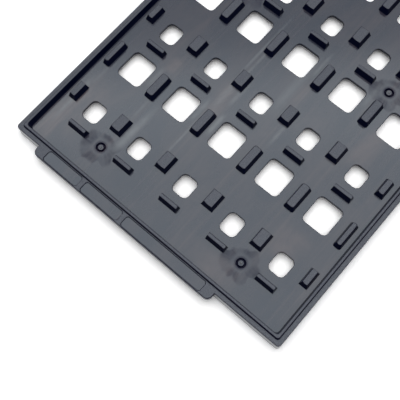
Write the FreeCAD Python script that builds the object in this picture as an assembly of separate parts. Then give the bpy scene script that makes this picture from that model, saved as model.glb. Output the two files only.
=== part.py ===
"""Matrix tray for integrated circuits, injection moulded in one piece.

Frame: millimetres, +Z up, origin at the middle of the resting underside, X across the
tray, Y along it. The labelled end tab is at -Y and the corner cut that marks pin 1 is
at the far left corner (-X, +Y).
"""
import FreeCAD, Part
import math
import os

# outline, to the common thin-tray pattern
BODY_WIDTH = 135.9           # across X, without tabs
BODY_LENGTH = 315.0          # along Y, without tabs
OUTER_RADIUS = 1.5           # the three round corners of the outline
CORNER_CUT = 6.0             # leg of the 45 degree cut that marks pin 1
STACK_PITCH = 6.35           # resting face to the ledge that carries the next tray
LIP_HEIGHT = 1.27            # the stacking lip above that ledge
EDGE_BREAK = 0.3             # leg of the break on the ledge's outer edge

# rim section
LEDGE_WIDTH = 1.8            # outer face to the foot of the lip
LIP_TOP_WIDTH = 1.0
LIP_DRAFT = 0.35             # lean of the lip's outer face over its height
LIP_RADIUS = 1.2             # upright corners of the lip and inside the skirt
STACK_CLEARANCE = 0.1        # the skirt of the next tray to the foot of the lip

# floor
FLOOR_LEVEL = 4.3            # top of the floor above the resting face
FLOOR_THICKNESS = 1.5
WALL_SLOPE = 0.24            # lean of moulded walls, run over rise
WALL_RADIUS = 1.5            # upright corners of the inner wall

# end tabs
TAB_WIDTH = 92.1
TAB_REACH = 3.8
TAB_THICKNESS = 3.2
TAB_OFFSET = 12.8            # from the tray's left side
TAB_RADIUS = 2.4

# label fields sunk in the near tab
LABEL_WIDTHS = (18.0, 19.6, 40.4)
LABEL_GAP = 2.05
LABEL_DEPTH = 0.5
LABEL_CORNER = 0.7           # leg of the cut across each corner of a field
LABEL_RIM = 0.6              # field to the tab's outer edge
LABEL_LIP_GAP = 0.35         # field to the foot of the lip

# pockets
COLUMN_PITCH = 24.4
ROW_PITCH = 47.17

# stop bars at the ends of the pockets
BAR_LENGTH = 8.3             # along X, at the top
BAR_WIDTH = 1.5              # along Y, at the top
BAR_END_SLOPE = 0.12

# guide blocks between the columns, sized at the top
SHORT_BLOCK_WIDTH = 4.15
SHORT_BLOCK_LENGTH = 6.6
SHORT_BLOCK_FROM_BAR = 12.1  # bar centre to block centre
LONG_BLOCK_WIDTH = 3.3
LONG_BLOCK_LENGTH = 10.9
LONG_BLOCK_FROM_BAR = 12.7   # block centre to the next bar's centre
LONG_BLOCK_RADIUS = 0.8      # its upright corners
EDGE_BLOCK_REACH = 0.3       # outer blocks past the outer column line, at the top
BLOCK_TOP_GAP = 0.02         # block tops under the top of the lip

# windows through the floor
WINDOW_OFFSET = -0.15        # middle of a window from the middle of its column
SMALL_WINDOW = (7.7, 8.85)   # X, Y
SMALL_WINDOW_FROM_BAR = 9.55
SMALL_WINDOW_RADIUS = 2.2
LARGE_WINDOW = (11.65, 12.9)
LARGE_WINDOW_FROM_BAR = 11.92
LARGE_WINDOW_RADIUS = 2.0

# sprue gate marks: a round groove about the stub of the gate
GATE_RADIUS = 2.0            # outside of the groove
GATE_GROOVE_WIDTH = 0.75
GATE_DEPTH = 1.0
STUB_RADIUS = 0.45
STUB_HEIGHT = 0.3
GATE_COLUMN_LINES = (1, -2)  # counted from the left, the last as -1

# flats that stand for a round corner or a circle where many repeat
CORNER_FLATS = 4
CIRCLE_FLATS = 16

# worked out from the sizes above
TOP = STACK_PITCH + LIP_HEIGHT
LIP_INSET = LEDGE_WIDTH + LIP_DRAFT + LIP_TOP_WIDTH
WALL_INSET = LIP_INSET + (TOP - FLOOR_LEVEL) * WALL_SLOPE
SKIRT_THICKNESS = LEDGE_WIDTH - STACK_CLEARANCE
BLOCK_HEIGHT = TOP - BLOCK_TOP_GAP - FLOOR_LEVEL
UNDERSIDE = FLOOR_LEVEL - FLOOR_THICKNESS
FLOOR_WIDTH = BODY_WIDTH - 2 * WALL_INSET
FLOOR_LENGTH = BODY_LENGTH - 2 * WALL_INSET
COLUMNS = int(FLOOR_WIDTH // COLUMN_PITCH)
ROWS = int((FLOOR_LENGTH - BAR_WIDTH) // ROW_PITCH)
OVERRUN = 1.0                # cutting shapes run this far past the faces they open
TOUCH = 1e-6                 # levels closer than this are the same


def vec(x, y, z):
    return FreeCAD.Vector(x, y, z)


def rectangle(cx, cy, width, length):
    """Corners of a rectangle about (cx, cy), anticlockwise."""
    x = width / 2
    y = length / 2
    return [(cx - x, cy - y), (cx + x, cy - y), (cx + x, cy + y), (cx - x, cy + y)]


def cut_rectangle(cx, cy, width, length, cut):
    """Corners of a rectangle with a 45 degree cut across each of its own."""
    x = width / 2
    y = length / 2
    corners = [(-x, cut - y), (cut - x, -y), (x - cut, -y), (x, cut - y),
               (x, y - cut), (x - cut, y), (cut - x, y), (-x, y - cut)]
    return [(cx + a, cy + b) for a, b in corners]


def rounded_rectangle(cx, cy, width, length, radius):
    """Corners of a rectangle whose own corners are turned in flats along a radius."""
    points = []
    middles = rectangle(cx, cy, width - 2 * radius, length - 2 * radius)
    for quarter, (x, y) in enumerate(middles, start=2):
        for k in range(CORNER_FLATS + 1):
            angle = (quarter + k / CORNER_FLATS) * math.pi / 2
            points.append((x + radius * math.cos(angle), y + radius * math.sin(angle)))
    return points


def circle(cx, cy, radius):
    angles = [2 * math.pi * k / CIRCLE_FLATS for k in range(CIRCLE_FLATS)]
    return [(cx + radius * math.cos(a), cy + radius * math.sin(a)) for a in angles]


def outline(inset):
    """Corners of the tray's outline moved inward, with the pin 1 cut at the far left."""
    x = BODY_WIDTH / 2 - inset
    y = BODY_LENGTH / 2 - inset
    cut = CORNER_CUT - inset * (2 - math.sqrt(2))
    return [(-x, -y), (x, -y), (x, y), (-x + cut, y), (-x, y - cut)]


def frustum(lower, z0, upper, z1):
    """Solid with flat leaning sides from one polygon up to another with as many corners."""
    low = [vec(x, y, z0) for x, y in lower]
    high = [vec(x, y, z1) for x, y in upper]
    loops = [low[::-1], high]
    for k in range(len(low)):
        loops.append([low[k - 1], low[k], high[k], high[k - 1]])
    faces = [Part.Face(Part.makePolygon(loop + loop[:1])) for loop in loops]
    return Part.Solid(Part.Shell(faces))


def prism(corners, z0, z1):
    return frustum(corners, z0, corners, z1)


def round_uprights(solid, radius):
    """Round the edges that climb from the bottom face to the top face."""
    uprights = [e for e in solid.Edges if abs(e.Vertexes[0].Z - e.Vertexes[-1].Z) > TOUCH]
    return solid.makeFillet(radius, uprights)


def column_lines():
    """X of the lines between the columns, with the outer line on either side."""
    return [(i - COLUMNS / 2) * COLUMN_PITCH for i in range(COLUMNS + 1)]


def bar_lines():
    """Y of the rows of stop bars, one more than the rows of pockets."""
    return [(j - ROWS / 2) * ROW_PITCH for j in range(ROWS + 1)]


def column_middles():
    """X of the middle of each column of pockets."""
    lines = column_lines()
    return [(left + right) / 2 for left, right in zip(lines, lines[1:])]


def end_tab(side):
    """Handling tab at one end: side is -1 for the near end and 1 for the far end."""
    left = -BODY_WIDTH / 2 + TAB_OFFSET
    root = BODY_LENGTH / 2 - 2 * TAB_RADIUS
    tip = BODY_LENGTH / 2 + TAB_REACH
    corners = rectangle(left + TAB_WIDTH / 2, side * (root + tip) / 2, TAB_WIDTH, tip - root)
    return round_uprights(prism(corners, STACK_PITCH - TAB_THICKNESS, STACK_PITCH), TAB_RADIUS)


def break_ledge(body):
    """Break the outer edge of the ledge, which runs on round the tabs."""
    rim = [e for e in body.Edges if all(abs(v.Z - STACK_PITCH) < TOUCH for v in e.Vertexes)]
    return body.makeChamfer(EDGE_BREAK, rim)


def stacking_lip():
    lip = frustum(outline(LEDGE_WIDTH), STACK_PITCH, outline(LEDGE_WIDTH + LIP_DRAFT), TOP)
    return round_uprights(lip, LIP_RADIUS)


def cavity():
    """Room above the floor, with the leaning inner wall of the rim."""
    mouth = outline(LIP_INSET - OVERRUN * WALL_SLOPE)
    return round_uprights(frustum(outline(WALL_INSET), FLOOR_LEVEL, mouth, TOP + OVERRUN), WALL_RADIUS)


def underside_recess():
    """Room under the floor, inside the skirt that sits on the tray below."""
    mouth = outline(SKIRT_THICKNESS - OVERRUN * WALL_SLOPE)
    roof = outline(SKIRT_THICKNESS + UNDERSIDE * WALL_SLOPE)
    return round_uprights(frustum(mouth, -OVERRUN, roof, UNDERSIDE), LIP_RADIUS)


def label_fields():
    """Shallow fields in the near tab, left bare."""
    run = LABEL_DEPTH * WALL_SLOPE
    near = -BODY_LENGTH / 2 - TAB_REACH + LABEL_RIM
    far = -BODY_LENGTH / 2 + LEDGE_WIDTH - LABEL_LIP_GAP
    total = sum(LABEL_WIDTHS) + LABEL_GAP * (len(LABEL_WIDTHS) - 1)
    left = -BODY_WIDTH / 2 + TAB_OFFSET + (TAB_WIDTH - total) / 2
    middle = (near + far) / 2
    fields = []
    for width in LABEL_WIDTHS:
        cx = left + width / 2
        length = far - near
        floor = cut_rectangle(cx, middle, width - 2 * run, length - 2 * run, LABEL_CORNER)
        mouth = cut_rectangle(cx, middle, width + 2 * run, length + 2 * run, LABEL_CORNER)
        fields.append(frustum(floor, STACK_PITCH - LABEL_DEPTH, mouth, STACK_PITCH + LABEL_DEPTH))
        left += width + LABEL_GAP
    return fields


def standing(plan, x0, x1, y, length, end_slope, *radius):
    """Block with leaning sides that stands on the floor, sized at its top from x0 to x1."""
    lean_x = 2 * BLOCK_HEIGHT * end_slope
    lean_y = 2 * BLOCK_HEIGHT * WALL_SLOPE
    x = (x0 + x1) / 2
    foot = plan(x, y, x1 - x0 + lean_x, length + lean_y, *radius)
    top = plan(x, y, x1 - x0, length, *radius)
    return frustum(foot, FLOOR_LEVEL, top, FLOOR_LEVEL + BLOCK_HEIGHT)


def block_spans(width):
    """X of both sides of the block on each column line; the outer two stop near that line."""
    lines = column_lines()
    left = [lines[0] - EDGE_BLOCK_REACH] + [x - width / 2 for x in lines[1:]]
    right = [x + width / 2 for x in lines[:-1]] + [lines[-1] + EDGE_BLOCK_REACH]
    return list(zip(left, right))


def guide_blocks():
    """A short block by each small window and a long one by each large window."""
    bars = bar_lines()
    blocks = []
    for x0, x1 in block_spans(SHORT_BLOCK_WIDTH):
        for bar in bars[:-1]:
            size = (bar + SHORT_BLOCK_FROM_BAR, SHORT_BLOCK_LENGTH, WALL_SLOPE)
            blocks.append(standing(rectangle, x0, x1, *size))
    for x0, x1 in block_spans(LONG_BLOCK_WIDTH):
        for bar in bars[1:]:
            size = (bar - LONG_BLOCK_FROM_BAR, LONG_BLOCK_LENGTH, WALL_SLOPE, LONG_BLOCK_RADIUS)
            blocks.append(standing(rounded_rectangle, x0, x1, *size))
    return blocks


def stop_bars():
    """Low bars across the pocket ends, steeper at their own ends."""
    bars = []
    for x in column_middles():
        for y in bar_lines():
            x0 = x - BAR_LENGTH / 2
            bars.append(standing(rectangle, x0, x0 + BAR_LENGTH, y, BAR_WIDTH, BAR_END_SLOPE))
    return bars


def window(x, y, size, radius):
    return prism(rounded_rectangle(x, y, *size, radius), UNDERSIDE - OVERRUN, FLOOR_LEVEL + OVERRUN)


def windows():
    """A small opening in the near end of each pocket's floor and a large one in the far end."""
    bars = bar_lines()
    cuts = []
    for column in column_middles():
        x = column + WINDOW_OFFSET
        for near, far in zip(bars, bars[1:]):
            cuts.append(window(x, near + SMALL_WINDOW_FROM_BAR, SMALL_WINDOW, SMALL_WINDOW_RADIUS))
            cuts.append(window(x, far - LARGE_WINDOW_FROM_BAR, LARGE_WINDOW, LARGE_WINDOW_RADIUS))
    return cuts


def gate_spots():
    """(x, y) of the moulding gates, on lines between columns at every second row of bars."""
    lines = column_lines()
    return [(lines[k], y) for k in GATE_COLUMN_LINES for y in bar_lines()[::2]]


def gate_groove(x, y):
    """Round groove with leaning walls about a gate."""
    run = GATE_DEPTH * WALL_SLOPE
    bottom = FLOOR_LEVEL - GATE_DEPTH
    core = GATE_RADIUS - GATE_GROOVE_WIDTH
    bowl = frustum(circle(x, y, GATE_RADIUS - run), bottom, circle(x, y, GATE_RADIUS), FLOOR_LEVEL)
    return bowl.cut(frustum(circle(x, y, core + run), bottom, circle(x, y, core), FLOOR_LEVEL))


def gate_stub(x, y):
    """What is left of the sprue at a gate: a small cone."""
    foot = circle(x, y, STUB_RADIUS)
    return frustum(foot, FLOOR_LEVEL, circle(x, y, STUB_RADIUS / 2), FLOOR_LEVEL + STUB_HEIGHT)


def tray():
    body = round_uprights(prism(outline(0), 0, STACK_PITCH), OUTER_RADIUS)
    body = body.fuse([end_tab(-1), end_tab(1)]).removeSplitter()
    body = break_ledge(body)
    body = body.fuse(stacking_lip()).cut([cavity(), underside_recess()] + label_fields())
    body = body.fuse(guide_blocks() + stop_bars() + [gate_stub(x, y) for x, y in gate_spots()])
    body = body.cut(windows() + [gate_groove(x, y) for x, y in gate_spots()])
    return body.removeSplitter()


os.makedirs("parts", exist_ok=True)
shape = tray()
assert shape.isValid() and len(shape.Solids) == 1
shape.Solids[0].exportStep("parts/tray.step")
print("tray: volume %.1f mm3" % shape.Volume)
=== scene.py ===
"""Looks of a moulded matrix tray: rounded edges, torn gate nibs, antistatic plastic with
its moulding marks, a pale floor with soft studio light, and the camera.

Laid out as an add-on and run as a script. Lengths are metres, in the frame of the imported
model: X across the tray, Y along it away from the labelled tab, Z up from the floor.
"""
import math

import bmesh
import bpy
from bpy.props import FloatProperty, FloatVectorProperty, IntProperty, PointerProperty
from mathutils import Matrix


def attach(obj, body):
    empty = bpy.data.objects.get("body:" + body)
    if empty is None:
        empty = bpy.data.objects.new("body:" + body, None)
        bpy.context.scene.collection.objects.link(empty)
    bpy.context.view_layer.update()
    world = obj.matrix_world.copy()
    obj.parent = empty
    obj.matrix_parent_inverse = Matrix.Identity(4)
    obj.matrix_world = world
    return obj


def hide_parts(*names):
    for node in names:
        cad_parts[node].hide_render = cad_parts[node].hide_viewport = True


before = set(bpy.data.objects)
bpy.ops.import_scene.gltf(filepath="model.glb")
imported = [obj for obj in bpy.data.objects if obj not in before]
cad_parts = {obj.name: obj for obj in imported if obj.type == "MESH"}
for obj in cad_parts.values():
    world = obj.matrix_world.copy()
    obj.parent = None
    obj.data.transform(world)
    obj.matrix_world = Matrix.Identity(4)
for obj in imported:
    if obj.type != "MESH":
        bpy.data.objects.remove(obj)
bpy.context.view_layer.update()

bl_info = {
    "name": "Matrix Tray Looks",
    "version": (1, 0, 0),
    "blender": (4, 5, 0),
    "location": "View3D > Sidebar > Tray",
    "description": "Finishes a moulded component tray and sets it under soft studio light",
    "category": "Object",
}

MM = 0.001

# the tray's own sizes that its marks follow, in millimetres
COLUMN_PITCH = 24.4
FLOOR_LEVEL = 4.3
GROOVE_LEVEL = FLOOR_LEVEL - 0.2  # under this lie the grooves at the gates
LABEL_LEVEL = 5.5                 # under the label fields sunk in the tab
RAISED_LEVEL = 6.1                # faces above this are grained, those below are polished
BODY_END = 157.6                  # faces farther out along Y are the end tabs'
GATE_X = 36.6                     # from the middle, on both sides
GATE_STEP = 94.34                 # from gate to gate along Y
GATES_ALONG = 4

# half the width and length of outlines about the middle; their third number isn't used
LEDGE = (67.5, 157.1, 0.0)        # inside the ledge's broken edge
LIP_MIDDLE = (65.3, 154.85, 0.0)  # along the middle of the lip's top
CAVITY = (64.6, 154.15, 0.0)      # inside the lip

# how much of a face's normal points along Z
UPWARD = 0.5           # a face with more looks up, and one with less either way is a wall
DULL_ROUND = 0.84      # a rounded edge with less is as dull as a wall
DULL_FAR_ROUND = 0.97  # the same for rounds that turn to the far or the left side

# scales of the noises, per millimetre; a band runs from a noise's value where it has no
# effect to the value where it has its full effect
CLOUD_SCALE = 0.06               # clouds about 17 mm wide and twice as long
CLOUD_STRETCH = (1.0, 0.5, 1.0)
CLOUD_BAND = (0.4, 0.75)
PATCH_BAND = (0.35, 0.6)
PATCH_LEAST = 0.35               # what is left of a placed mark between the patches
LINE_SCALES = (0.5, 0.02, 0.0)   # lines about 2 mm wide and 50 mm long
LINE_BAND = (0.48, 0.75)
LINE_STRENGTH = 0.25
LINES_BESIDE = (2.0, 8.0)        # from the line between columns: strongest, faintest
LINES_LEAST = 0.15
GRAIN_SCALE = 2.5                # grains of about 0.4 mm
GRAIN_BAND = (0.35, 0.65)
GRAIN_DEPTH = 0.05 * MM
FLOOR_GRAIN = 0.02               # strength of the grain's bumps on polished faces
RAISED_GRAIN = 1.0               # and on raised ones

# about a gate: distances from its middle in millimetres, and how dull it is there when a
# petal is 1
CORE_RADIUS = 1.6                # within the groove
CORE_BLUSH = 0.3
HALO = (2.0, 3.5)                # from its darkest to its end
HALO_BLUSH = 1.1
RING = (3.0, 4.8)                # from its palest to the petals
RING_BLUSH = 0.3
PETALS = 4
PETAL_BAND = (-0.8, 0.4)         # of the cosine that waves round the gate
BETWEEN_PETALS = 0.45
REACH_SCALE = 1.6                # of the noise about the gate that makes the end ragged
REACH_BAND = (0.35, 0.6)
REACHES = (0.8, 1.15)            # shortest and longest, against the blush's reach
REACH_LEAN = -0.1                # the blush reaches less far towards the far end
REACH_EDGE = 1.4                 # it fades over this at its end
RAY_SCALE = 7.0
RAY_BAND = (0.35, 0.65)
BETWEEN_RAYS = 0.6
GATE_DRAWS = (0.05, 3.0)         # the noises' fourth number: step per mm of X, and start

PLAIN_SPECULAR = 0.5             # the shader's level for gloss as the index gives it
BLUSH_ROUGHNESS = 0.1            # what full blush adds to the floor's roughness

# warm flow marks on the floor, real marks whose sheen is painted as paler body colour;
# in millimetres: x and y of the middle, half width, half length; then the strength
FLOW_MARKS_AND_SHEEN = (
    (-57.0, -135.0, 11.0, 24.0, 0.6),
    (-61.0, -146.0, 5.0, 12.0, 0.3),
    (-38.0, -95.0, 4.0, 5.0, 0.5),
    (-13.2, -95.0, 5.5, 13.0, 0.9),
    (-13.6, -86.0, 2.4, 34.0, 0.3),
    (10.0, -72.0, 3.5, 10.0, 0.5),
    (30.0, -149.0, 22.0, 7.0, 0.5),
    (46.0, -124.0, 10.0, 10.0, 0.5),
    (45.0, -73.0, 7.0, 13.0, 0.5),
)
# grey streaks beside the block lines, whose sheen is painted as paler body colour too,
# in the same terms
STREAKS_AND_SHEEN = (
    (-60.0, -132.0, 1.8, 18.0, 0.6),
    (-58.6, -116.0, 1.0, 9.0, 0.5),
    (-40.6, -104.0, 2.0, 7.0, 0.4),
    (-35.8, -117.0, 1.2, 9.0, 0.4),
    (-31.3, -128.0, 2.6, 18.0, 0.8),
    (-17.0, -103.0, 1.8, 8.0, 0.8),
    (-14.9, -117.0, 0.9, 15.0, 0.5),
    (-15.2, -62.0, 1.0, 21.0, 0.9),
    (-12.9, -70.0, 1.0, 14.0, 0.8),
    (-13.8, -92.0, 2.4, 10.0, 0.7),
    (-9.4, -87.0, 1.6, 9.0, 0.7),
    (-8.0, -104.0, 1.6, 7.0, 0.8),
    (5.5, -68.0, 3.2, 22.0, 0.45),
    (8.3, -55.0, 1.3, 9.0, 0.6),
    (13.9, -90.0, 1.5, 9.0, 0.6),
    (32.0, -52.0, 1.6, 9.0, 0.5),
)

# the camera's own axes: to its right, up, and back towards it
CAMERA_AXES = (
    (0.75658561, 0.6538185, -0.00997935),
    (-0.61761969, 0.71954308, 0.31749595),
    (0.2147653, -0.23404942, 0.94820712),
)


def linear(code):
    """Linear red, green, blue and alpha of an sRGB hex colour."""
    parts = [int(code[i:i + 2], 16) / 255 for i in (1, 3, 5)]
    return [c / 12.92 if c <= 0.04045 else ((c + 0.055) / 1.055) ** 2.4 for c in parts] + [1.0]


def add(tree, kind, sockets=None, **settings):
    """A new node with its settings, and its inputs set, or linked to a socket or to the
    first output in use of another node."""
    node = tree.nodes.new(kind)
    for name, value in settings.items():
        setattr(node, name, value)
    for key, value in (sockets or {}).items():
        named = (s for s in node.inputs if s.enabled and s.name == key)
        socket = node.inputs[key] if isinstance(key, int) else next(named)
        if isinstance(value, bpy.types.Node):
            value = next(s for s in value.outputs if s.enabled)
        if isinstance(value, bpy.types.NodeSocket):
            tree.links.new(value, socket)
        else:
            socket.default_value = value
    return node


def ends(name, pair):
    """Values for the two inputs of a node that are the ends of one range."""
    return {name + " Min": pair[0], name + " Max": pair[1]}


def new_material(name):
    """A material with an empty node tree, and that tree."""
    material = bpy.data.materials.new(name)
    material.use_nodes = True
    material.node_tree.nodes.clear()
    return material, material.node_tree


class MouldingSettings(bpy.types.PropertyGroup):
    edge_radius: FloatProperty(
        name="Edge radius", description="Round on every edge that stands proud",
        default=0.2 * MM, min=0.02 * MM, unit="LENGTH", precision=5)
    edge_steps: IntProperty(
        name="Edge steps", description="Facets across a rounded edge", default=3, min=1, max=4)
    sharp_angle: FloatProperty(
        name="Sharp angle", description="Edges that turn by more than this are rounded",
        default=math.radians(50), subtype="ANGLE")
    smooth_angle: FloatProperty(
        name="Smooth angle", description="Faces that meet by less than this shade as one",
        default=math.radians(30), subtype="ANGLE")


class NibSettings(bpy.types.PropertyGroup):
    radius: FloatProperty(
        name="Nib radius", description="Of the torn plastic left at a gate",
        default=0.45 * MM, unit="LENGTH", precision=5)
    ragged: FloatProperty(
        name="Raggedness", description="How far the torn face strays",
        default=0.3 * MM, unit="LENGTH", precision=5)
    seed: IntProperty(name="Seed", description="Of the torn shapes", default=3)
    # pale as torn, whitened plastic, and paler still as a painted highlight for the glint on
    # each nib
    colour: FloatVectorProperty(
        name="Whitened", description="Colour of plastic whitened where it tore",
        default=linear("#5E6165"), size=4, subtype="COLOR")
    roughness: FloatProperty(
        name="Torn roughness", description="Of the torn plastic", default=0.55,
        subtype="FACTOR")
    refraction: FloatProperty(
        name="Refractive index", description="Of the torn plastic", default=1.5)


class PlasticSettings(bpy.types.PropertyGroup):
    colour: FloatVectorProperty(
        name="Plastic", description="Body colour of the carbon-filled plastic",
        default=linear("#060C27"), size=4, subtype="COLOR")
    raised: FloatVectorProperty(
        name="Raised faces", description="Body colour under the grain of the raised faces",
        default=linear("#1B1A2A"), size=4, subtype="COLOR")
    # the colours of the flow marks and streaks are partly painted sheen: paler body colour
    # where the real marks shine more
    marked: FloatVectorProperty(
        name="Flow marks", description="Body colour where the warm flow marks are strongest",
        default=linear("#483C41"), size=4, subtype="COLOR")
    streaked_and_sheen: FloatVectorProperty(
        name="Streaks", description="Body colour where the grey streaks are strongest",
        default=linear("#57595F"), size=4, subtype="COLOR")
    gloss: FloatVectorProperty(
        name="Gloss", description="Tint of the plastic's shine",
        default=linear("#E2ECF0"), size=4, subtype="COLOR")
    refraction: FloatProperty(
        name="Refractive index", description="Of the plastic's skin", default=1.55)
    floor_roughness: FloatProperty(
        name="Floor roughness", description="Of the polished floor", default=0.16,
        subtype="FACTOR")
    raised_roughness: FloatProperty(
        name="Raised roughness", description="Of the grained raised faces", default=0.4,
        subtype="FACTOR")
    raised_gloss: FloatProperty(
        name="Raised gloss", description="Gloss of the raised faces against the floor's",
        default=1.08, subtype="FACTOR")
    sparkle: FloatProperty(
        name="Sparkle", description="How far the grain of the raised faces varies their gloss",
        default=0.3, subtype="FACTOR")
    wall_gloss: FloatProperty(
        name="Wall gloss", description="On the drafted walls inside, against the floor's",
        default=0.1, subtype="FACTOR")
    outer_gloss: FloatProperty(
        name="Outer gloss", description="On the outer walls, against the floor's",
        default=1.8)
    # the marks, lines and clouds are real, and the sheen that shows them is painted into the
    # body colour
    flow: FloatProperty(
        name="Flow marks", description="Strength of the placed marks and lines", default=1.05,
        subtype="FACTOR")
    cloud: FloatProperty(
        name="Clouds", description="Strength of the clouds over the floor", default=0.35,
        subtype="FACTOR")
    blush: FloatProperty(
        name="Gate blush", description="How much duller the plastic is about a gate",
        default=0.48, subtype="FACTOR")
    blush_reach: FloatProperty(
        name="Blush reach", description="From the gate to the end of its blush",
        default=8.0 * MM, unit="LENGTH")


class StageSettings(bpy.types.PropertyGroup):
    floor_size: FloatProperty(
        name="Floor size", description="Side of the square floor", default=6.0, unit="LENGTH")
    floor_colour: FloatVectorProperty(
        name="Floor colour", description="Of the card, as it lights the tray",
        default=linear("#E6E6E6"), size=4, subtype="COLOR")
    floor_seen: FloatProperty(
        name="Floor seen", description="Brightness of the white floor as it is seen",
        default=1.28)
    fade_start: FloatProperty(
        name="Fade start", description="From the middle to where the card starts to turn "
        "plain white", default=0.7, unit="LENGTH")
    fade_end: FloatProperty(
        name="Fade end", description="From the middle to where the card is plain white",
        default=1.4, unit="LENGTH")
    tent_size: FloatProperty(
        name="Tent size", description="Side of the white cloth overhead", default=3.2,
        unit="LENGTH")
    tent_height: FloatProperty(
        name="Tent height", description="Height of the cloth above the floor", default=1.5,
        unit="LENGTH")
    tent_radiance: FloatProperty(
        name="Tent radiance", description="Brightness of the cloth, white being 1",
        default=0.9)
    softbox_size: FloatProperty(
        name="Softbox size", description="Side of the square softbox under the cloth",
        default=1.22, unit="LENGTH")
    softbox_height: FloatProperty(
        name="Softbox height", description="Height above the floor", default=1.2,
        unit="LENGTH")
    softbox_turn: FloatProperty(
        name="Softbox turn", description="About the upright", default=math.radians(40.5),
        subtype="ANGLE")
    softbox_radiance: FloatProperty(
        name="Softbox radiance", description="What its face adds to the cloth", default=1.4)
    tube_width: FloatProperty(
        name="Tube width", description="Of the brighter strip near the softbox's far side",
        default=0.16, unit="LENGTH")
    tube_height: FloatProperty(
        name="Tube height", description="Of the strip, just under the softbox", default=1.19,
        unit="LENGTH")
    tube_place: FloatProperty(
        name="Tube place", description="From the middle of the softbox to the strip",
        default=0.495, unit="LENGTH")
    tube_radiance: FloatProperty(
        name="Tube radiance", description="What the strip adds to the softbox", default=0.8)
    ambient: FloatProperty(
        name="Ambient", description="Light from all around on matt surfaces", default=0.08)
    camera_place: FloatVectorProperty(
        name="Camera", description="Place of the camera",
        default=(75.81 * MM, -206.20 * MM, 302.81 * MM), subtype="TRANSLATION")
    sensor: FloatProperty(
        name="Sensor", description="Width of the camera's sensor in millimetres",
        default=36.0)
    lens: FloatProperty(
        name="Lens", description="Focal length in millimetres", default=72.38)


def placed_marks(tree, axes, marks):
    """Soft marks at their places, full along the middle third of their length: 0 to 1,
    and added up where they overlap."""
    total = 0.0
    for x, y, half_width, half_length, strength in marks:
        aside = add(tree, "ShaderNodeMath", {0: axes.outputs["X"], 1: x}, operation="SUBTRACT")
        along = add(tree, "ShaderNodeMath", {0: axes.outputs["Y"], 1: y}, operation="SUBTRACT")
        across = add(tree, "ShaderNodeMapRange", {
            "Value": add(tree, "ShaderNodeMath", {0: aside}, operation="ABSOLUTE"),
            "From Max": half_width, "To Min": strength, "To Max": 0.0},
            interpolation_type="SMOOTHSTEP")
        length = add(tree, "ShaderNodeMapRange", {
            "Value": add(tree, "ShaderNodeMath", {0: along}, operation="ABSOLUTE"),
            "From Min": half_length / 3, "From Max": half_length,
            "To Min": 1.0, "To Max": 0.0}, interpolation_type="SMOOTHSTEP")
        total = add(tree, "ShaderNodeMath", {0: across, 1: length, 2: total},
                    operation="MULTIPLY_ADD")
    return total


def drawn_lines(tree, place, axes):
    """Faint lines along Y, strongest beside the lines between columns: 0 to 1."""
    shifted = add(tree, "ShaderNodeMath", {0: axes.outputs["X"], 1: COLUMN_PITCH / 2},
                  operation="SUBTRACT")
    aside = add(tree, "ShaderNodeMath", {0: shifted, 1: COLUMN_PITCH / 2},
                operation="PINGPONG")
    beside = add(tree, "ShaderNodeMapRange", {
        "Value": aside, **ends("From", LINES_BESIDE), **ends("To", (1.0, LINES_LEAST))},
        interpolation_type="SMOOTHSTEP")
    stretched = add(tree, "ShaderNodeVectorMath", {0: place, 1: LINE_SCALES},
                    operation="MULTIPLY")
    noise = add(tree, "ShaderNodeTexNoise", {"Vector": stretched, "Scale": 1.0, "Detail": 2.0})
    lines = add(tree, "ShaderNodeMapRange", {"Value": noise, **ends("From", LINE_BAND)})
    return add(tree, "ShaderNodeMath", {0: beside, 1: lines}, operation="MULTIPLY")


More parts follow.
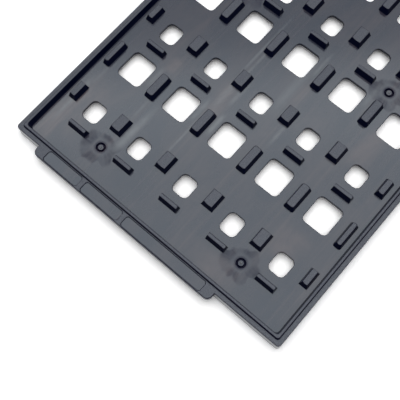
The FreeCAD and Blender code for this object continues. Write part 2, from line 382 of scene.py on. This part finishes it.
def gate_blush(tree, axes, reach):
    """Dull petals with rays about each gate's groove, past a dark halo and a paler ring:
    0 to 1, and a little over it in the halo."""
    side = add(tree, "ShaderNodeMath", {0: axes.outputs["X"]}, operation="ABSOLUTE")
    x = add(tree, "ShaderNodeMath", {0: side, 1: GATE_X}, operation="SUBTRACT")
    shifted = add(tree, "ShaderNodeMath", {0: axes.outputs["Y"], 1: GATE_STEP / 2},
                  operation="ADD")
    y = add(tree, "ShaderNodeMath", {0: shifted, 1: GATE_STEP / 2, 2: -GATE_STEP / 2},
            operation="WRAP")
    out = add(tree, "ShaderNodeCombineXYZ", {"X": x, "Y": y})
    far = add(tree, "ShaderNodeVectorMath", {0: out}, operation="LENGTH").outputs["Value"]
    way = add(tree, "ShaderNodeVectorMath", {0: out}, operation="NORMALIZE")
    step, start = GATE_DRAWS
    each = add(tree, "ShaderNodeMath", {0: axes.outputs["X"], 1: step, 2: start},
               operation="MULTIPLY_ADD")
    ragged, rays = (
        add(tree, "ShaderNodeTexNoise", {"Vector": way, "W": each, "Scale": scale,
                                         "Detail": 1.0}, noise_dimensions="4D")
        for scale in (REACH_SCALE, RAY_SCALE))

    upward = add(tree, "ShaderNodeSeparateXYZ", {0: way}).outputs["Y"]
    leaning = add(tree, "ShaderNodeMath", {0: upward, 1: REACH_LEAN, 2: ragged},
                  operation="MULTIPLY_ADD")
    limit = add(tree, "ShaderNodeMapRange", {
        "Value": leaning, **ends("From", REACH_BAND),
        **ends("To", [share * reach for share in REACHES])})
    inside = add(tree, "ShaderNodeMath", {0: limit, 1: far}, operation="SUBTRACT")
    outer = add(tree, "ShaderNodeMapRange", {"Value": inside, "From Max": REACH_EDGE},
                interpolation_type="SMOOTHSTEP")
    angle = add(tree, "ShaderNodeMath", {0: y, 1: x}, operation="ARCTAN2")
    turns = add(tree, "ShaderNodeMath", {0: angle, 1: PETALS}, operation="MULTIPLY")
    petal = add(tree, "ShaderNodeMath", {0: turns}, operation="COSINE")
    for value, band, least, kind in (
            (petal, PETAL_BAND, BETWEEN_PETALS, "LINEAR"),
            (far, RING, RING_BLUSH, "SMOOTHSTEP"),
            (rays, RAY_BAND, BETWEEN_RAYS, "LINEAR")):
        part = add(tree, "ShaderNodeMapRange", {
            "Value": value, **ends("From", band), **ends("To", (least, 1.0))},
            interpolation_type=kind)
        outer = add(tree, "ShaderNodeMath", {0: outer, 1: part}, operation="MULTIPLY")

    halo = add(tree, "ShaderNodeMapRange", {
        "Value": far, **ends("From", HALO), **ends("To", (HALO_BLUSH, 0.0))},
        interpolation_type="SMOOTHSTEP")
    both = add(tree, "ShaderNodeMath", {0: outer, 1: halo}, operation="MAXIMUM")
    past = add(tree, "ShaderNodeMath", {0: far, 1: CORE_RADIUS}, operation="GREATER_THAN")
    return add(tree, "ShaderNodeMix", {"Factor": past, "A": CORE_BLUSH, "B": both})


def inside_of(tree, place, edge):
    """1 inside an outline given by half its width and length, 0 on it and beyond."""
    size = add(tree, "ShaderNodeVectorMath", {0: place}, operation="ABSOLUTE")
    left = add(tree, "ShaderNodeVectorMath", {0: edge, 1: size}, operation="SUBTRACT")
    spare = add(tree, "ShaderNodeSeparateXYZ", {0: left})
    least = add(tree, "ShaderNodeMath", {0: spare.outputs["X"], 1: spare.outputs["Y"]},
                operation="MINIMUM")
    return add(tree, "ShaderNodeMath", {0: least, 1: 0.0}, operation="GREATER_THAN")


def flow_marks_and_sheen(tree, place, axes, settings):
    """Warm clouds and marks, and grey streaks, in the skin where the melt ran unevenly:
    each 0 to 1. The marks are real, and the sheen that shows them is painted as paler body
    colour."""
    drawn = add(tree, "ShaderNodeVectorMath", {0: place, 1: CLOUD_STRETCH},
                operation="MULTIPLY")
    noise = add(tree, "ShaderNodeTexNoise", {
        "Vector": drawn, "Scale": CLOUD_SCALE, "Detail": 4.0, "Roughness": 0.6,
        "Distortion": 0.6})
    clouds = add(tree, "ShaderNodeMapRange", {
        "Value": noise, **ends("From", CLOUD_BAND), "To Max": settings.cloud})
    patchy = add(tree, "ShaderNodeMapRange", {
        "Value": noise, **ends("From", PATCH_BAND), **ends("To", (PATCH_LEAST, 1.0))})
    broad = add(tree, "ShaderNodeMath", {0: placed_marks(tree, axes, FLOW_MARKS_AND_SHEEN), 1: patchy},
                operation="MULTIPLY")
    lines = add(tree, "ShaderNodeMath", {
        0: drawn_lines(tree, place, axes), 1: LINE_STRENGTH, 2: broad},
        operation="MULTIPLY_ADD")
    warm = add(tree, "ShaderNodeMath", {0: lines, 1: settings.flow, 2: clouds},
               operation="MULTIPLY_ADD", use_clamp=True)
    grey = add(tree, "ShaderNodeMath", {0: placed_marks(tree, axes, STREAKS_AND_SHEEN), 1: patchy},
               operation="MULTIPLY", use_clamp=True)
    return warm, grey


def dull_limit(tree, place, axes, facing, within):
    """How little of a normal may point along Z on a face as dull as a wall: more where
    rounded edges are dull too, which is inside the tray and on the tabs, but not on the
    inner half of the lip's top."""
    cavity = inside_of(tree, place, CAVITY)
    lip = add(tree, "ShaderNodeMath", {
        0: inside_of(tree, place, LIP_MIDDLE), 1: cavity}, operation="SUBTRACT")
    body = add(tree, "ShaderNodeMath", {0: within, 1: lip}, operation="SUBTRACT")
    along = add(tree, "ShaderNodeMath", {0: axes.outputs["Y"]}, operation="ABSOLUTE")
    tab = add(tree, "ShaderNodeMath", {0: along, 1: BODY_END}, operation="GREATER_THAN")
    rounded = add(tree, "ShaderNodeMath", {0: body, 1: tab}, operation="MAXIMUM")
    turned = add(tree, "ShaderNodeMath", {
        0: facing.outputs["Y"], 1: facing.outputs["X"]}, operation="GREATER_THAN")
    edge = add(tree, "ShaderNodeMix", {
        "Factor": turned, "A": DULL_ROUND, "B": DULL_FAR_ROUND})
    return add(tree, "ShaderNodeMix", {"Factor": rounded, "A": UPWARD, "B": edge})


def wall_gloss(tree, place, axes, facing, upward, settings):
    """Gloss against the floor's: its own on outer walls, dull on the drafted walls and
    rounded edges inside the tray and down in the grooves at the gates, and 1 on faces that
    lie flat."""
    within = inside_of(tree, place, LEDGE)
    limit = dull_limit(tree, place, axes, facing, within)
    lean = add(tree, "ShaderNodeMath", {0: facing.outputs["Z"]}, operation="ABSOLUTE")
    steep = add(tree, "ShaderNodeMath", {0: lean, 1: limit}, operation="LESS_THAN")
    low = add(tree, "ShaderNodeMath", {0: axes.outputs["Z"], 1: GROOVE_LEVEL},
              operation="LESS_THAN")
    sunk = add(tree, "ShaderNodeMath", {0: upward, 1: low}, operation="MULTIPLY")
    groove = add(tree, "ShaderNodeMath", {0: sunk, 1: within}, operation="MULTIPLY")
    wall = add(tree, "ShaderNodeMath", {0: steep, 1: groove}, operation="MAXIMUM")
    under = add(tree, "ShaderNodeMath", {0: axes.outputs["Z"], 1: LABEL_LEVEL},
                operation="LESS_THAN")
    outer = add(tree, "ShaderNodeMath", {0: under, 1: within}, operation="SUBTRACT")
    side = add(tree, "ShaderNodeMix", {
        "Factor": outer, "A": settings.wall_gloss, "B": settings.outer_gloss})
    return add(tree, "ShaderNodeMix", {"Factor": wall, "A": 1.0, "B": side})


def antistatic_plastic(settings):
    """Carbon-filled polymer as moulded. It is near black, and what the eye reads is gloss:
    clear and blue-grey where the tool was polished, soft on the fine grain of the raised
    faces, dull on drafted walls and about the gates. Pale flow marks lie in the skin; their
    paleness is their sheen, painted into the body colour."""
    material, tree = new_material("carbon_filled_polymer_moulded")
    place = add(tree, "ShaderNodeVectorMath", {
        0: add(tree, "ShaderNodeTexCoord").outputs["Object"], "Scale": 1 / MM},
        operation="SCALE")
    axes = add(tree, "ShaderNodeSeparateXYZ", {0: place})
    facing = add(tree, "ShaderNodeSeparateXYZ", {
        0: add(tree, "ShaderNodeNewGeometry").outputs["Normal"]})
    high = add(tree, "ShaderNodeMath", {0: axes.outputs["Z"], 1: RAISED_LEVEL},
               operation="GREATER_THAN")
    upward = add(tree, "ShaderNodeMath", {0: facing.outputs["Z"], 1: UPWARD},
                 operation="GREATER_THAN")
    raised = add(tree, "ShaderNodeMath", {0: high, 1: upward}, operation="MULTIPLY")
    flat = add(tree, "ShaderNodeMath", {0: upward, 1: raised}, operation="SUBTRACT")
    plain = add(tree, "ShaderNodeMix", {
        "Factor": raised, "A": settings.colour, "B": settings.raised}, data_type="RGBA")
    warm, grey = flow_marks_and_sheen(tree, place, axes, settings)
    # flow marks, clouds and streaks: real marks, with their sheen painted as paler body colour
    body = plain
    for strength, colour in ((warm, settings.marked), (grey, settings.streaked_and_sheen)):
        marks = add(tree, "ShaderNodeMath", {0: strength, 1: flat}, operation="MULTIPLY")
        body = add(tree, "ShaderNodeMix", {
            "Factor": marks, "A": body, "B": colour}, data_type="RGBA")

    blush = add(tree, "ShaderNodeMath", {
        0: gate_blush(tree, axes, settings.blush_reach / MM), 1: flat}, operation="MULTIPLY")
    duller = add(tree, "ShaderNodeMath", {0: blush, 1: -settings.blush, 2: 1.0},
                 operation="MULTIPLY_ADD")
    # grain drawn at about 0.4 mm, coarser than the tool's, so that it shows at this distance
    grain = add(tree, "ShaderNodeTexNoise", {
        "Vector": place, "Scale": GRAIN_SCALE, "Detail": 2.0})
    sparkle = add(tree, "ShaderNodeMapRange", {
        "Value": grain, **ends("From", GRAIN_BAND),
        "To Min": settings.raised_gloss * (1 - settings.sparkle),
        "To Max": settings.raised_gloss * (1 + settings.sparkle)})
    gloss = add(tree, "ShaderNodeMix", {"Factor": raised, "A": duller, "B": sparkle})
    walls = wall_gloss(tree, place, axes, facing, upward, settings)
    both = add(tree, "ShaderNodeMath", {0: gloss, 1: walls}, operation="MULTIPLY")
    level = add(tree, "ShaderNodeMath", {0: both, 1: PLAIN_SPECULAR}, operation="MULTIPLY")

    polished = add(tree, "ShaderNodeMath", {
        0: blush, 1: BLUSH_ROUGHNESS, 2: settings.floor_roughness},
        operation="MULTIPLY_ADD")
    roughness = add(tree, "ShaderNodeMix", {
        "Factor": raised, "A": polished, "B": settings.raised_roughness})
    depth = add(tree, "ShaderNodeMix", {
        "Factor": raised, "A": FLOOR_GRAIN, "B": RAISED_GRAIN})
    bump = add(tree, "ShaderNodeBump", {
        "Strength": depth, "Distance": GRAIN_DEPTH, "Height": grain})
    shader = add(tree, "ShaderNodeBsdfPrincipled", {
        "Base Color": body, "Roughness": roughness, "IOR": settings.refraction,
        "Specular IOR Level": level, "Specular Tint": settings.gloss, "Normal": bump})
    add(tree, "ShaderNodeOutputMaterial", {"Surface": shader})
    return material


def whitened_plastic_and_glint(settings):
    """The same polymer where it tore off at a gate: stretched, so paler and matt. Its
    paleness also stands in for the glint on each nib, a painted highlight.
    """
    material, tree = new_material("carbon_filled_polymer_torn")
    shader = add(tree, "ShaderNodeBsdfPrincipled", {
        "Base Color": settings.colour, "Roughness": settings.roughness,
        "IOR": settings.refraction})
    add(tree, "ShaderNodeOutputMaterial", {"Surface": shader})
    return material


def frozen(context, thing):
    """Replace an object's mesh by what its modifiers make of it."""
    graph = context.evaluated_depsgraph_get()
    thing.data = bpy.data.meshes.new_from_object(thing.evaluated_get(graph))
    thing.modifiers.clear()


class TRAY_OT_moulding(bpy.types.Operator):
    """The tray with the small rounds that moulding leaves on its edges"""
    bl_idname = "tray.moulding"
    bl_label = "Moulding"

    SAME_PLACE = 0.001 * MM         # corners nearer than this are one
    SAME_PLANE = math.radians(0.5)  # faces that turn by less than this are one
    RISE = 0.5                      # an edge that goes up by more of its length stays sharp

    def execute(self, context):
        settings = context.scene.tray_moulding
        tray = bpy.data.objects.new("tray_moulding", self.marked(settings))
        context.scene.collection.objects.link(tray)
        edges = tray.modifiers.new("edges", "BEVEL")
        edges.width = settings.edge_radius
        edges.segments = settings.edge_steps
        edges.limit_method = "WEIGHT"
        edges.use_clamp_overlap = False
        evened = tray.modifiers.new("evened", "WEIGHTED_NORMAL")
        evened.keep_sharp = True
        frozen(context, tray)
        tray.data.materials.clear()
        tray.data.materials.append(antistatic_plastic(context.scene.tray_plastic))
        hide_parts("tray")
        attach(tray, "root")
        return {"FINISHED"}

    def marked(self, settings):
        """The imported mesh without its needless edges, with those to round marked."""
        mesh = bpy.data.meshes.new("tray_moulding")
        shape = bmesh.new()
        shape.from_mesh(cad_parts["tray"].data)
        bmesh.ops.remove_doubles(shape, verts=shape.verts, dist=self.SAME_PLACE)
        bmesh.ops.dissolve_limit(
            shape, angle_limit=self.SAME_PLANE, verts=shape.verts, edges=shape.edges)
        weight = shape.edges.layers.float.new("bevel_weight_edge")
        for face in shape.faces:
            face.smooth = True
        for edge in shape.edges:
            angle = edge.calc_face_angle()
            edge.smooth = angle < settings.smooth_angle
            if edge.is_convex and angle > settings.sharp_angle and not self.rises(edge):
                edge[weight] = 1.0
        shape.to_mesh(mesh)
        shape.free()
        return mesh

    def rises(self, edge):
        """Whether an edge goes up by enough of its length to be left sharp."""
        start, end = (vert.co / MM for vert in edge.verts)
        return abs(end.z - start.z) > self.RISE * (end - start).length


class TRAY_OT_nibs(bpy.types.Operator):
    """The torn nib of plastic at each gate"""
    bl_idname = "tray.nibs"
    bl_label = "Gate nibs"

    FINENESS = 4           # how often the ball that a nib starts from is divided
    TILT = 0.6             # the most that a nib is turned about X and Y, in radians
    TEAR_SCALE = 1.4 / MM  # of the noise that tears it

    def execute(self, context):
        settings = context.scene.tray_nibs
        nibs = bpy.data.objects.new("gate_nibs", bpy.data.meshes.new("gate_nibs"))
        context.scene.collection.objects.link(nibs)
        maker = nibs.modifiers.new("nibs", "NODES")
        maker.node_group = self.maker()
        values = {"Radius": settings.radius, "Ragged": settings.ragged, "Seed": settings.seed,
                  "Material": whitened_plastic_and_glint(settings)}
        for item in maker.node_group.interface.items_tree:
            if item.name in values:
                maker[item.identifier] = values[item.name]
        frozen(context, nibs)
        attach(nibs, "root")
        return {"FINISHED"}

    def maker(self):
        """Node tree that sets a ragged nib on every gate."""
        tree = bpy.data.node_groups.new("gate_nibs", "GeometryNodeTree")
        for name, kind in (("Radius", "NodeSocketFloat"), ("Ragged", "NodeSocketFloat"),
                           ("Seed", "NodeSocketInt"), ("Material", "NodeSocketMaterial")):
            tree.interface.new_socket(name, in_out="INPUT", socket_type=kind)
        tree.interface.new_socket(
            "Geometry", in_out="OUTPUT", socket_type="NodeSocketGeometry")
        given = add(tree, "NodeGroupInput").outputs
        spots = add(tree, "GeometryNodeMeshGrid", {
            "Size X": 2 * GATE_X * MM, "Size Y": (GATES_ALONG - 1) * GATE_STEP * MM,
            "Vertices X": 2, "Vertices Y": GATES_ALONG})
        level = add(tree, "GeometryNodeTransform", {
            "Geometry": spots, "Translation": (0.0, 0.0, FLOOR_LEVEL * MM)})
        nib = add(tree, "GeometryNodeMeshIcoSphere", {
            "Radius": given["Radius"], "Subdivisions": self.FINENESS})
        turn = add(tree, "FunctionNodeRandomValue", {
            "Max": (self.TILT, self.TILT, 2 * math.pi), "Seed": given["Seed"]},
            data_type="FLOAT_VECTOR")
        stood = add(tree, "GeometryNodeInstanceOnPoints", {
            "Points": level, "Instance": nib, "Rotation": turn})
        real = add(tree, "GeometryNodeRealizeInstances", {"Geometry": stood})
        noise = add(tree, "ShaderNodeTexNoise", {
            "Scale": self.TEAR_SCALE, "W": given["Seed"]}, noise_dimensions="4D")
        middle = add(tree, "ShaderNodeVectorMath", {
            0: noise.outputs["Color"], 1: (0.5, 0.5, 0.5)}, operation="SUBTRACT")
        stray = add(tree, "ShaderNodeVectorMath", {0: middle, "Scale": given["Ragged"]},
                    operation="SCALE")
        torn = add(tree, "GeometryNodeSetPosition", {"Geometry": real, "Offset": stray})
        skin = add(tree, "GeometryNodeSetMaterial", {
            "Geometry": torn, "Material": given["Material"]})
        add(tree, "NodeGroupOutput", {"Geometry": skin})
        return tree


class TRAY_OT_stage(bpy.types.Operator):
    """Pale floor, softbox overhead, and the camera"""
    bl_idname = "tray.stage"
    bl_label = "Stage"

    def execute(self, context):
        settings = context.scene.tray_stage
        self.floor(context, settings)
        self.world(context, settings)
        self.lamps(context, settings)
        self.camera(context, settings)
        context.scene.view_settings.view_transform = "Standard"
        return {"FINISHED"}

    def seen(self, tree):
        """1 where a surface is seen straight, in gloss or through something."""
        path = add(tree, "ShaderNodeLightPath").outputs
        gloss = add(tree, "ShaderNodeMath", {
            0: path["Is Camera Ray"], 1: path["Is Glossy Ray"]}, operation="MAXIMUM")
        return add(tree, "ShaderNodeMath", {0: gloss, 1: path["Is Transmission Ray"]},
                   operation="MAXIMUM")

    def floor(self, context, settings):
        """White card that keeps the tray's shadow, and stays white to its far edge."""
        half = settings.floor_size / 2
        corners = [(-half, -half, 0), (half, -half, 0), (half, half, 0), (-half, half, 0)]
        mesh = bpy.data.meshes.new("floor")
        mesh.from_pydata(corners, [], [(0, 1, 2, 3)])
        floor = bpy.data.objects.new("floor", mesh)
        context.scene.collection.objects.link(floor)
        material, tree = new_material("white_card")
        seen = self.seen(tree)
        colour = add(tree, "ShaderNodeMix", {
            "Factor": seen, "A": settings.floor_colour,
            "B": [settings.floor_seen] * 3 + [1.0]}, data_type="RGBA")
        away = add(tree, "ShaderNodeVectorMath", {
            0: add(tree, "ShaderNodeTexCoord").outputs["Object"]}, operation="LENGTH")
        far = add(tree, "ShaderNodeMapRange", {
            "Value": away.outputs["Value"], "From Min": settings.fade_start,
            "From Max": settings.fade_end}, interpolation_type="SMOOTHSTEP")
        white = add(tree, "ShaderNodeMath", {0: far, 1: seen}, operation="MULTIPLY")
        near = add(tree, "ShaderNodeBsdfDiffuse", {"Color": colour})
        shader = add(tree, "ShaderNodeMixShader", {
            0: white, 1: near, 2: add(tree, "ShaderNodeEmission", {"Strength": 1.0})})
        add(tree, "ShaderNodeOutputMaterial", {"Surface": shader})
        mesh.materials.append(material)

    def world(self, context, settings):
        """White where it is seen, and a little light from all around."""
        world = bpy.data.worlds.new("studio")
        world.use_nodes = True
        tree = world.node_tree
        tree.nodes.clear()
        strength = add(tree, "ShaderNodeMix", {
            "Factor": self.seen(tree), "A": settings.ambient, "B": 1.0})
        back = add(tree, "ShaderNodeBackground", {"Color": (1, 1, 1, 1), "Strength": strength})
        add(tree, "ShaderNodeOutputWorld", {"Surface": back})
        context.scene.world = world

    def lamps(self, context, settings):
        """White cloth overhead, a softbox under it, and the brighter strip of its tube."""
        box = settings.softbox_size
        tent = settings.tent_size
        for name, width, length, height, aside, radiance in (
                ("tent", tent, tent, settings.tent_height, 0.0, settings.tent_radiance),
                ("softbox", box, box, settings.softbox_height, 0.0, settings.softbox_radiance),
                ("tube", box, settings.tube_width, settings.tube_height,
                 settings.tube_place, settings.tube_radiance)):
            data = bpy.data.lights.new(name, "AREA")
            data.shape = "RECTANGLE"
            data.size = width
            data.size_y = length
            data.energy = radiance * math.pi * width * length  # power for that radiance
            lamp = bpy.data.objects.new(name, data)
            turn = Matrix.Rotation(settings.softbox_turn, 4, "Z")
            lamp.matrix_world = turn @ Matrix.Translation((0, aside, height))
            context.scene.collection.objects.link(lamp)

    def camera(self, context, settings):
        """The camera, above the near right corner, looking down on the labelled end."""
        lens = bpy.data.cameras.new("camera")
        lens.sensor_width = settings.sensor
        lens.lens = settings.lens
        camera = bpy.data.objects.new("camera", lens)
        turn = Matrix(CAMERA_AXES).transposed().to_4x4()
        camera.matrix_world = Matrix.Translation(settings.camera_place) @ turn
        context.scene.collection.objects.link(camera)
        context.scene.camera = camera


class TRAY_PT_panel(bpy.types.Panel):
    """Sizes, colours and steps of the tray's looks"""
    bl_label = "Matrix Tray"
    bl_idname = "TRAY_PT_panel"
    bl_space_type = "VIEW_3D"
    bl_region_type = "UI"
    bl_category = "Tray"

    def draw(self, context):
        scene = context.scene
        for group, operator in ((scene.tray_plastic, None),
                                (scene.tray_moulding, TRAY_OT_moulding),
                                (scene.tray_nibs, TRAY_OT_nibs),
                                (scene.tray_stage, TRAY_OT_stage)):
            box = self.layout.box()
            for name in group.__annotations__:
                box.prop(group, name)
            if operator:
                box.operator(operator.bl_idname)


GROUPS = {"tray_moulding": MouldingSettings, "tray_nibs": NibSettings,
          "tray_plastic": PlasticSettings, "tray_stage": StageSettings}
CLASSES = (*GROUPS.values(), TRAY_OT_moulding, TRAY_OT_nibs, TRAY_OT_stage, TRAY_PT_panel)


def register():
    for cls in CLASSES:
        bpy.utils.register_class(cls)
    for name, group in GROUPS.items():
        setattr(bpy.types.Scene, name, PointerProperty(type=group))


def unregister():
    for name in GROUPS:
        delattr(bpy.types.Scene, name)
    for cls in reversed(CLASSES):
        bpy.utils.unregister_class(cls)


def main():
    """Make every piece and the stage."""
    register()
    bpy.ops.tray.moulding()
    bpy.ops.tray.nibs()
    bpy.ops.tray.stage()


if __name__ == "__main__":
    main()
